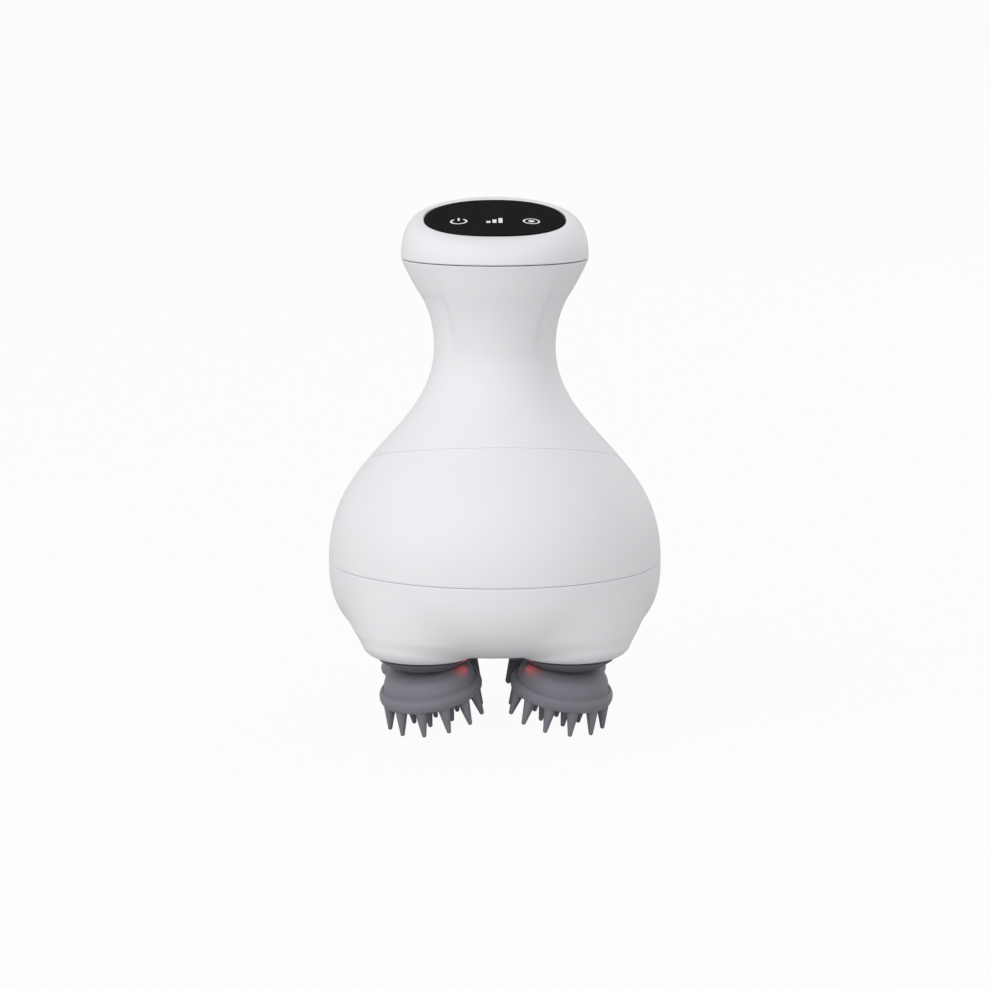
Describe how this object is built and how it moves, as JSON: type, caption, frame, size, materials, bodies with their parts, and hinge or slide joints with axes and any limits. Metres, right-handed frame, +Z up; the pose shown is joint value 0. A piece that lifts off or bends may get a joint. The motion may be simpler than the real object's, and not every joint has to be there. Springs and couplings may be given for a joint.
{
  "type": "electric scalp massager",
  "caption": "Hand-held electric scalp massager: bulb-shaped white housing, slanted black key panel on top, and tilted grey silicone claws that turn underneath.",
  "frame": {"origin": "centre of the footprint, on the surface that the lowest tooth tips stand on", "axes": "+Z up along the housing, -Y towards the front (the low side of the slanted key panel), +X to the right seen from the front"},
  "size_m": [0.1004, 0.1004, 0.1563],
  "materials": {
    "white_housing": "satin moulded, smooth",
    "black_panel": "gloss black, like back-painted acrylic",
    "white_silicone": "matte soft silicone",
    "grey_silicone": "matte soft silicone",
    "dark_grey_plastic": "matte moulded",
    "circuit_board": "solder mask green",
    "red_lens": "clear red, polished",
    "red_light": "moulded lamp chip",
    "black_rubber": "matte rubber",
    "natural_nylon": "natural moulded nylon",
    "grey_plastic": "matte moulded",
    "cell_sleeve": "shrink sleeve",
    "sintered_bronze": "sintered, oiled",
    "black_plastic": "matte moulded",
    "plated_steel": "bright plated",
    "steel": "turned steel"
  },
  "bodies": {
    "housing": {"top_cap": "white_housing", "tact_switch": "plated_steel", "key_board": "circuit_board", "key_board_screws": "steel", "handle_shell": "white_housing", "usb_socket": "plated_steel", "main_board": "circuit_board", "battery_tray": "grey_plastic", "battery_cell": "cell_sleeve", "tray_screws": "steel", "belly_shell": "white_housing", "housing_seal": "black_rubber", "base_shell": "white_housing", "base_screws": "steel", "gear_plate": "grey_plastic", "motor": "plated_steel", "motor_gearbox": "plated_steel", "motor_screws": "steel", "idler_pins": "steel", "lower_bushes": "sintered_bronze", "upper_bushes": "sintered_bronze", "shaft_seals": "black_rubber", "led_board": "circuit_board", "led_chips": "red_light", "led_lenses": "red_lens"},
    "key": {"control_panel": "black_panel", "switch_plunger": "black_plastic"},
    "flap": {"port_flap": "white_silicone"},
    "drive": {"motor_shaft": "steel", "drive_gear": "natural_nylon"},
    "idler_fr": {"idler_gear_fr": "natural_nylon"},
    "idler_rl": {"idler_gear_rl": "natural_nylon"},
    "head_fl": {"head_shaft_fl": "steel", "output_gear_fl": "natural_nylon", "collar_fl": "dark_grey_plastic", "claw_fl": "grey_silicone"},
    "head_fr": {"head_shaft_fr": "steel", "output_gear_fr": "natural_nylon", "collar_fr": "dark_grey_plastic", "claw_fr": "grey_silicone"},
    "head_rl": {"head_shaft_rl": "steel", "output_gear_rl": "natural_nylon", "collar_rl": "dark_grey_plastic", "claw_rl": "grey_silicone"},
    "head_rr": {"head_shaft_rr": "steel", "output_gear_rr": "natural_nylon", "collar_rr": "dark_grey_plastic", "claw_rr": "grey_silicone"}
  },
  "joints": [
    {"name": "key_press", "type": "slide", "parent": "housing", "child": "key", "axis": [0, 0.2284, -0.9736], "range_m": [0, 0.0007], "stiffness_N_per_m": 1200, "springref_m": -0.0003},
    {"name": "flap_hinge", "type": "hinge", "parent": "housing", "child": "flap", "pos_m": [-0.0068, 0.01625, 0.11254], "axis": [0, 0, 1], "range_deg": [0, 100]},
    {"name": "drive_spin", "type": "hinge", "parent": "housing", "child": "drive", "pos_m": [0, 0, 0.03514], "axis": [0, 0, 1], "continuous": true},
    {"name": "idler_spin_fr", "type": "hinge", "parent": "housing", "child": "idler_fr", "pos_m": [0.01226, -0.01226, 0.03914], "axis": [0, 0, 1], "continuous": true},
    {"name": "idler_spin_rl", "type": "hinge", "parent": "housing", "child": "idler_rl", "pos_m": [-0.01226, 0.01226, 0.03914], "axis": [0, 0, 1], "continuous": true},
    {"name": "head_spin_fl", "type": "hinge", "parent": "housing", "child": "head_fl", "pos_m": [-0.0218, -0.0218, 0.02314], "axis": [0, 0, 1], "continuous": true},
    {"name": "head_spin_fr", "type": "hinge", "parent": "housing", "child": "head_fr", "pos_m": [0.0218, -0.0218, 0.02314], "axis": [0, 0, 1], "continuous": true},
    {"name": "head_spin_rl", "type": "hinge", "parent": "housing", "child": "head_rl", "pos_m": [-0.0218, 0.0218, 0.02314], "axis": [0, 0, 1], "continuous": true},
    {"name": "head_spin_rr", "type": "hinge", "parent": "housing", "child": "head_rr", "pos_m": [0.0218, 0.0218, 0.02314], "axis": [0, 0, 1], "continuous": true}
  ],
  "couplings": [
    {"joint": "idler_spin_fr", "follows": "drive_spin", "ratio": -1.25},
    {"joint": "idler_spin_rl", "follows": "drive_spin", "ratio": -1.25},
    {"joint": "head_spin_fl", "follows": "drive_spin", "ratio": -1.6667},
    {"joint": "head_spin_rr", "follows": "drive_spin", "ratio": -1.6667},
    {"joint": "head_spin_fr", "follows": "drive_spin", "ratio": 1.6667},
    {"joint": "head_spin_rl", "follows": "drive_spin", "ratio": 1.6667}
  ]
}
